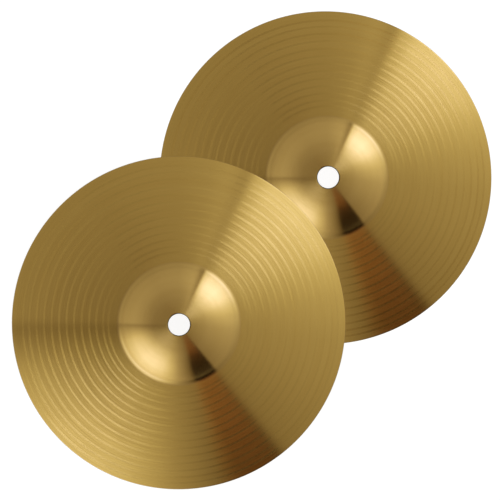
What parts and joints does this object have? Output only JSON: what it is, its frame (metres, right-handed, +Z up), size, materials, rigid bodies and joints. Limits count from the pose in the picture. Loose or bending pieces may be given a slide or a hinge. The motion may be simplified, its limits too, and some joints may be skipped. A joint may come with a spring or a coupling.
{
  "type": "hand cymbals",
  "caption": "Small thin brass hand cymbals with raised bells, a turned tonal groove and open strap holes; the upper one leans on the lower one.",
  "frame": {"origin": "middle of the pair's footprint, on the surface that it lies on", "axes": "+Z up; +X from the leaning cymbal towards the flat one"},
  "size_m": [0.3296, 0.2032, 0.0271],
  "materials": {
    "brass": "satin lathe-turned sheet brass, brushed in circles, clear lacquered"
  },
  "bodies": {
    "lower_cymbal": {"lower_cymbal": "brass"},
    "upper_cymbal": {"upper_cymbal": "brass"}
  },
  "joints": [
    {"name": "upper_cymbal_lift", "type": "slide", "parent": "lower_cymbal", "child": "upper_cymbal", "axis": [0, 0, 1], "range_m": [0, 0.15]}
  ]
}
